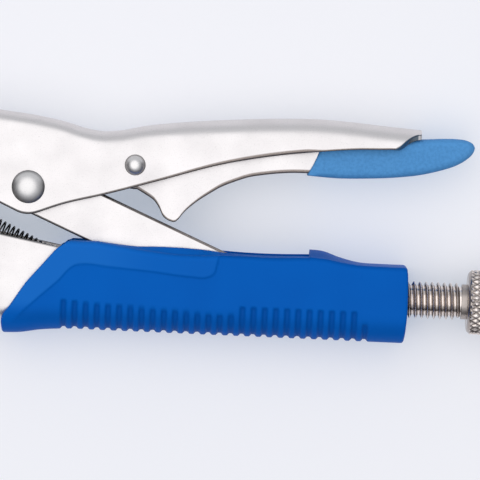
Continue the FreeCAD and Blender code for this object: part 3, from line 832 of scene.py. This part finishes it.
grip_floor = table((30.0, -14.88), (36.0, -14.6), (42.0, -13.6), (50.0, -12.98), (60.0, -12.98),
                   (151.0, -12.98))
crease = table((33.0, -12.0), (40.3, -4.7), (46.6, 1.1), (52.6, 6.6), (54.6, 6.85), (62.0, 6.3),
               (74.9, 5.4), (86.2, 4.4), (91.0, 4.4), (92.8, 5.3), (93.9, 8.6), (94.6, 14.0), (95.0, 18.0))


def rib_depth(x, y):
    """1 on the floor of the grooves and 0 between them."""
    index = np.clip(np.round((x - RIB_START) / RIB_PITCH), 0, RIB_COUNT - 1)
    across = np.abs(x - RIB_START - index * RIB_PITCH)
    top = np.where(index < 15, -4.0 - 0.2 * index, np.where(index == 15, -6.4, -3.9))
    top = np.where(index == RIB_COUNT - 1, -8.0, top)
    return (1 - smooth_step(0.35, 1.15, across)) * (1 - smooth_step(top - 0.45, top + 0.45, y))


def border_step(x, y):
    """0 on the raised border at the front and top, 1 below its crease."""
    slope = (crease(x + 0.2) - crease(x - 0.2)) / 0.4
    away = (crease(x) - y) / np.sqrt(1 + slope ** 2)
    return smooth_step(-0.45, 0.45, away) * smooth_step(-13.0, -6.0, y)


def grip_section(x, open_slot):
    """Half of the outer skin, as (z, y) from the lip round to the middle of the underside."""
    half, top_r, low_r, lip_r = GRIP_HALF, 1.7, 8.6, 0.5
    floor = float(grip_floor(x))
    y_lip = float(lip_outer(x)) if open_slot else float(shoulder(x))
    rows = []
    if open_slot:
        high = float(lip_inner(x))
        start = SLOT_HALF + lip_r
        rows += [(SLOT_HALF, SLOT_LOW), (SLOT_HALF, 9.8), (SLOT_HALF, high - lip_r)]
        for q in np.radians((25, 50, 72, 90)):
            rows.append((start - lip_r * math.cos(q), high - lip_r + lip_r * math.sin(q)))
    else:
        start, high = 0.0, float(crown(x))
        rows += [(0.0, SLOT_LOW), (0.0, 9.2), (0.0, 9.6)] + [(0.0, high)] * 4
    top_n, arc_n, side_n, low_n, under_n = 6, 7, 40, 14, 3
    end = half - top_r
    for k in range(1, top_n + 1):
        z = start + (end - start) * k / top_n
        share = (z - start) / (end - start)
        rows.append((z, high + (y_lip - high) * share ** 1.3 - 0.1 * share ** 2))
    y_lip -= 0.1
    for k in range(1, arc_n + 1):
        q = math.radians(90 - 90 * k / arc_n)
        rows.append((half - top_r + top_r * math.cos(q), y_lip - top_r + top_r * math.sin(q)))
    for k in range(1, side_n + 1):
        rows.append((half, y_lip - top_r + (floor + low_r - y_lip + top_r) * k / side_n))
    for k in range(1, low_n + 1):
        q = math.radians(90 * k / low_n)
        rows.append((half - low_r + low_r * math.cos(q), floor + low_r - low_r * math.sin(q)))
    for k in range(1, under_n + 1):
        rows.append(((half - low_r) * (1 - k / under_n), floor))
    return np.array(rows)


def inner_section(x, count, open_slot):
    """Half of the hidden inner skin, from under the lip to the middle, with count points."""
    if x > 125.0:
        bore = 7.8
        q = np.radians(np.linspace(90, -90, count))
        return np.stack([bore * np.cos(q), bore * np.sin(q)], axis=1)
    start = SLOT_HALF if open_slot else 0.0
    key = [(start, SLOT_LOW), (8.25, SLOT_LOW), (8.25, -6.5)]
    for q in np.radians((15, 30, 45, 60, 75, 90)):
        key.append((4.25 + 4.0 * math.cos(q), -6.5 - 4.05 * math.sin(q)))
    key = np.array(key + [(0.0, -10.55)])
    run = np.concatenate([[0], np.cumsum(np.linalg.norm(np.diff(key, axis=0), axis=1))])
    where = np.linspace(0, run[-1], count)
    where[1] = run[1] * 0.5
    return np.stack([np.interp(where, run, key[:, 0]), np.interp(where, run, key[:, 1])], axis=1)


def handle_grip():
    spacing = RIB_PITCH / 10
    first = GRIP_START + np.array([0.0, 0.05, 0.15, 0.3, 0.5, 0.75, 1.05])
    body = np.arange(first[-1] + spacing, SLOT_END - 0.1, spacing)
    rear = np.arange(SLOT_END + spacing, GRIP_END - 1.3, spacing)
    tail = GRIP_END - np.array([1.1, 0.8, 0.55, 0.35, 0.2, 0.08, 0.0])
    places = [(x, True) for x in (*first, *body, SLOT_END)]
    places += [(x, False) for x in (SLOT_END, *rear, *tail)]
    round_r = 0.9
    lip_n = 7
    points, marks = [], []
    for x0, open_slot in places:
        rows = grip_section(x0, open_slot)
        count = len(rows)
        z, y = rows[:, 0], rows[:, 1]
        lead = max(0.0, 1 - (x0 - GRIP_START) / 60.0) ** 2
        bow = float(smooth_step(138.0, GRIP_END, x0))
        x = x0 + (front_edge(y) - GRIP_START) * lead - 0.004 * (y + 1) ** 2 * bow
        step = np.gradient(rows, axis=0)
        step /= np.linalg.norm(step, axis=1)[:, None] + 1e-9
        normal = np.stack([-step[:, 1], step[:, 0]], axis=1)
        ribs = rib_depth(x, y)
        border = border_step(x, y) * np.abs(normal[:, 0])
        sink = 0.72 * ribs + 0.42 * border
        for gap in (x - front_edge(y), GRIP_END - 0.004 * (y + 1) ** 2 - x):
            near = np.clip(1 - gap / round_r, 0, 1)
            sink = sink + round_r * (1 - np.sqrt(1 - near ** 2 * 0.998))
        sink[:3] = 0.0
        if not open_slot:
            normal[:lip_n] = (0.0, 1.0)
            z[:lip_n] = 0.0
        outer = np.column_stack([x, y - sink * normal[:, 1], z - sink * normal[:, 0]])
        inner = inner_section(x0, count, open_slot)
        inner_x = np.minimum(x0 + (front_edge(inner[:, 1]) - GRIP_START) * lead, GRIP_END - 1.3)
        inner = np.column_stack([inner_x, inner[:, 1], inner[:, 0]])
        inner[0] = outer[0]
        # colour mask: the grooves and the crease's step are darkened as painted shade; the raised border is
        # lighter, less so towards the back
        low_fade = 1 - 0.7 * smooth_step(55.0, 78.0, x)
        raised = (1 - border) * smooth_step(-9.0, -4.0, y) * (x < 97.0) * low_fade
        shade = 0.5 - 0.5 * ribs + 0.45 * raised * open_slot - border * (1 - border)
        for mirror in (1, -1):
            points += [outer * (1, 1, mirror), inner * (1, 1, mirror)]
            marks += [np.clip(shade, 0, 1), np.full(count, 0.5)]
    points = np.concatenate(points)
    faces = []
    last = len(places) - 1
    for m in (0, 1):
        faces += strip(row(0, m, 0, count), row(0, m, 1, count))
        for i in range(last):
            low = 0 if places[i][1] else lip_n - 1
            high = count if places[i][1] == places[i + 1][1] else 3
            faces += strip(row(i, m, 0, count)[low:], row(i + 1, m, 0, count)[low:])
            faces += strip(row(i, m, 1, count)[:high], row(i + 1, m, 1, count)[:high])
    # the end face closes in to the hole that the screw comes out of
    hole = 6.0
    outer, inner = [np.concatenate([row(last, m, skin, count) for m in (0, 1)]) for skin in (0, 1)]
    rim = points[outer]
    angle = np.arctan2(rim[:, 1], rim[:, 2])
    end_x = np.full(len(rim), GRIP_END - 0.05)
    edge = np.column_stack([end_x, hole * np.sin(angle), hole * np.cos(angle)])
    rings = [outer]
    for share, depth in ((0.25, 0.0), (0.6, 0.0), (1.0, 0.0), (1.0, 1.0)):
        rings.append(np.arange(len(points), len(points) + len(rim)))
        points = np.concatenate([points, rim + (edge - rim) * share - (depth, 0.0, 0.0)])
        marks.append(np.full(len(rim), 0.5))
    rings.append(inner)
    for a, b in zip(rings[:-1], rings[1:]):
        for m in (0, 1):
            part = slice(m * count + lip_n - 1, (m + 1) * count)
            faces += strip(a[part], b[part])
    make_piece("handle_grip_skin", points, faces, body="fixed_frame", stands_for="handle_grip",
               slot="blue_grip", material=grip_blue, edge=np.concatenate(marks), sharp=50)


# ---- spring ----


def tube(path, radius, sides=10):
    """Points and faces of a closed round wire along a path."""
    ahead = np.gradient(path, axis=0)
    ahead /= np.linalg.norm(ahead, axis=1)[:, None]
    normal = np.cross(ahead[0], (0.31, 0.2, 0.93))
    points = []
    for p, d in zip(path, ahead):
        normal = normal - d * np.dot(normal, d)
        normal /= np.linalg.norm(normal)
        other = np.cross(d, normal)
        for k in range(sides):
            q = 2 * math.pi * k / sides
            points.append(p + radius * (math.cos(q) * normal + math.sin(q) * other))
    return points, ring_faces(len(path), sides)


def tension_spring():
    """A close coil with a round hook through the jaw's lug and another round the anchor pin."""
    start, end = np.array(SPRING_HOOK), np.array(SPRING_ANCHOR)
    length = float(np.linalg.norm(end - start))
    along = (end - start) / length
    across = np.array([-along[1], along[0]])
    wire, hook_r, coil_r, pitch = 0.27, 2.5, 3.0, 1.5
    hook_n, turn_n = 34, 24
    coil = (2 * hook_r + 1.2, length - hook_r - 1.2)
    turns = round((coil[1] - coil[0]) / pitch)
    local = []
    for q in np.radians(np.linspace(-120, 165, hook_n)):
        local.append((hook_r - hook_r * math.cos(q), 0.12 * q, hook_r * math.sin(q)))
    for q in np.linspace(0, 2 * math.pi * turns, turn_n * turns + 1):
        u = coil[0] + (coil[1] - coil[0]) * q / (2 * math.pi * turns)
        grow = min(1.0, q / 3.0, (2 * math.pi * turns - q) / 3.0)
        r = coil_r * (0.45 + 0.55 * grow)
        local.append((u, r * math.sin(q + 0.4), r * math.cos(q + 0.4)))
    for q in np.radians(np.linspace(180, -130, hook_n)):
        local.append((length + hook_r * math.cos(q), hook_r * math.sin(q), 0.05 * q))
    local = np.array(local)
    for _ in range(2):
        for seam in (hook_n, len(local) - hook_n):
            for i in range(seam - 5, seam + 6):
                local[i] = (local[i - 1] + 2 * local[i] + local[i + 1]) / 4
    path = np.column_stack([start[0] + local[:, 0] * along[0] + local[:, 1] * across[0],
                            start[1] + local[:, 0] * along[1] + local[:, 1] * across[1], local[:, 2]])
    points, faces = tube(path, wire)
    spring = make_piece("tension_spring_coil", points, faces, body="spring", stands_for="tension_spring",
                        slot="spring_wire", material=spring_black, sharp=70)
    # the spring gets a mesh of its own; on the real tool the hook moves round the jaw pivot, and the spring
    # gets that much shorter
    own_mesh(spring)


# ---- adjusting screw ----


def revolve(profile, sides, first, depth=lambda x, r, q: 0.0):
    """Points and faces of a closed turned solid from (x, radius) points, numbered from first. depth is
    how far the surface lies below the radius there, at an angle q round the axis."""
    points = []
    for x, r in profile:
        for k in range(sides):
            q = 2 * math.pi * k / sides
            reach = r - depth(x, r, q)
            points.append((x, reach * math.cos(q), reach * math.sin(q)))
    return points, ring_faces(len(profile), sides, first)


def adjusting_screw():
    crest_r, root_r = 5.6, 4.4
    low, high = 114.5, 166.7
    sides = 48
    profile = [(0.0, 1.0), (0.04, 0.97), (0.12, 0.8), (0.2, 0.55), (0.28, 0.28), (0.35, 0.08), (0.42, 0.01),
               (0.5, 0.0), (0.58, 0.01), (0.65, 0.08), (0.72, 0.28), (0.8, 0.55), (0.88, 0.8), (0.96, 0.97)]
    per_turn = len(profile)
    turns = int((high - low) / SCREW_PITCH) + 2
    points, marks = [], []
    for t in range(turns):
        for phase, rise in profile:
            for k in range(sides):
                q = 2 * math.pi * k / sides
                x = low - SCREW_PITCH + (t + phase + k / sides) * SCREW_PITCH
                fade = min(1.0, max(0.0, (high - x) / 1.4)) * min(1.0, max(0.0, (x - low) / 2.0))
                r = root_r + (crest_r - root_r) * rise * fade
                points.append((min(max(x, low), high), r * math.cos(q), r * math.sin(q)))
                # painted shade: the thread's flanks are darkened, its crests and roots left light
                marks.append(1.0 - abs(2 * rise - 1) ** 2)
    faces = []
    rows = turns * per_turn
    for i in range(rows - 1):
        faces += strip(range(i * sides, (i + 1) * sides), range((i + 1) * sides, (i + 2) * sides))
    faces += strip(range(sides - 1, (rows - per_turn) * sides, sides),
                   range(per_turn * sides, rows * sides, sides))
    # round plugs close the thread's two ends
    for plug in ([(112.4, 2.4), (112.7, 2.9), (114.6, 2.9), (114.6, 4.43), (115.5, 4.43)],
                 [(165.9, 4.43), (166.75, 4.43), (166.75, 3.6), (168.7, 3.6)]):
        more, closing = revolve(plug, sides, len(points))
        points += more
        marks += [0.2] * len(more)
        faces += closing
    # the knob, with crossed helical grooves rolled into it
    around = 240
    grooves = 32
    lean = 0.62
    knob_r = 9.62
    knurl = (169.55, 185.4)
    knob = [(168.6, 3.9), (168.6, 8.0), (168.68, 8.45), (168.9, 8.85), (169.2, 9.12), (169.5, 9.25)]
    knob += [(x, knob_r) for x in np.linspace(knurl[0] + 0.15, knurl[1] - 0.15, 64)]
    knob += [(knurl[1], 9.3), (185.7, 9.1), (186.6, 8.3), (186.9, 7.6), (186.95, 6.6), (186.5, 6.1),
             (186.4, 1.0)]

    def groove(x, r, q):
        """How far into a groove a point of the knob lies, from 0 to 1."""
        if r < knob_r:
            return 0.0
        ridges = []
        for way in (1, -1):
            turn = (q * knob_r + way * (x - knurl[0]) * lean) * grooves / (2 * math.pi * knob_r)
            ridges.append(1.35 * (1 - abs(2 * (turn % 1.0) - 1)))
        return 1 - min(1.0, *ridges)

    more, closing = revolve(knob, around, len(points), lambda x, r, q: 0.5 * groove(x, r, q))
    points += more
    faces += closing
    for x, r in knob:
        for k in range(around):
            # painted shade: the knob's bevel and the floors of its knurled grooves are darkened
            marks.append(0.65 if 7.0 < r < 9.5 else 0.9 * groove(x, r, 2 * math.pi * k / around))
    make_piece("adjusting_screw_thread", points, faces, body="screw", stands_for="adjusting_screw",
               slot="nickel_screw", material=screw_nickel, edge=marks, sharp=35)


# ---- CAD nodes that stay as they are ----


def dress_cad():
    finish = {"nickel_rivet": rivet_nickel, "plain_steel": plain_steel, "nickel_screw": collar_nickel}
    for entry in frame["record"]["subparts"]:
        node = frame["nodes"][entry["node"]]
        if node.hide_render:
            continue
        material = finish[entry["material_slot"]]
        node.data.materials.clear()
        node.data.materials.append(material)


movable_handle()
release_lever()
toggle_link()
fixed_handle()
movable_jaw()
fixed_jaw()
lever_sleeve()
handle_grip()
tension_spring()
adjusting_screw()
dress_cad()


# ---- floor, light, camera ----


def floor():
    size = 3.0
    z = cad_low.z - 0.0002
    mesh = bpy.data.meshes.new("floor")
    corners = [(-size, -size, z), (size, -size, z), (size, size, z), (-size, size, z)]
    mesh.from_pydata(corners, [], [(0, 1, 2, 3)])
    # the floor glows faintly, like a light table, which keeps the shadows pale
    material, n, shader = paint("floor_paint", (0.637, 0.582, 0.547), 0.8, specular=0.1)
    tone = n.mix(n.spread(n.noise(4.0), 0.3, 0.7), (0.642, 0.587, 0.552), (0.632, 0.577, 0.542))
    n.feed(shader, Base_Color=tone, Emission_Color=(0.29, 0.34, 0.41), Emission_Strength=1.0)
    mesh.materials.append(material)
    put("floor", mesh)


def overhead_light():
    lamp = bpy.data.lights.new("overhead", "AREA")
    lamp.shape = "ELLIPSE"
    lamp.size = 1.6
    lamp.size_y = 1.6
    lamp.energy = 5.0
    lamp.color = (1.0, 0.985, 0.975)
    holder = put("overhead", lamp)
    holder.location = (-0.12, 0.05, 0.86)
    holder.rotation_euler = (-holder.location).to_track_quat("-Z", "Y").to_euler()


def camera():
    width = 0.1424
    aim = ORIGIN + Vector((100.3, 15.7, 4.0)) * MM
    tilt = math.radians(2.5)
    roll = math.radians(2.5)
    data = bpy.data.cameras.new("camera")
    data.lens = 300.0
    data.sensor_width = 36.0
    data.clip_start = 0.01
    distance = width * data.lens / data.sensor_width
    back = Vector((0.0, math.sin(tilt), math.cos(tilt)))
    up = back.cross(Vector((math.cos(roll), math.sin(roll), 0.0))).normalized()
    right = up.cross(back).normalized()
    view = put("camera", data)
    view.matrix_world = Matrix((right, up, back)).transposed().to_4x4()
    view.location = aim + back * distance
    bpy.context.scene.camera = view


def world():
    """A white tent that is dark low down, except on the side the handles' backs face."""
    sky = bpy.data.worlds.new("sky")
    n = Nodes(sky, "Generated")
    high = n.spread(n.axis("Z"), 0.15, 0.8, shape="SMOOTHSTEP")
    behind = n.spread(n.axis("Y"), 0.1, 0.6, shape="SMOOTHSTEP")
    tone = n.mix(n.maths("MAXIMUM", high, behind), (0.07, 0.07, 0.08), (0.92, 0.95, 1.0))
    n.feed(n.tree.nodes["Background"], Color=tone, Strength=0.715)
    bpy.context.scene.world = sky


bpy.context.scene.view_settings.view_transform = "Standard"
floor()
overhead_light()
world()
camera()
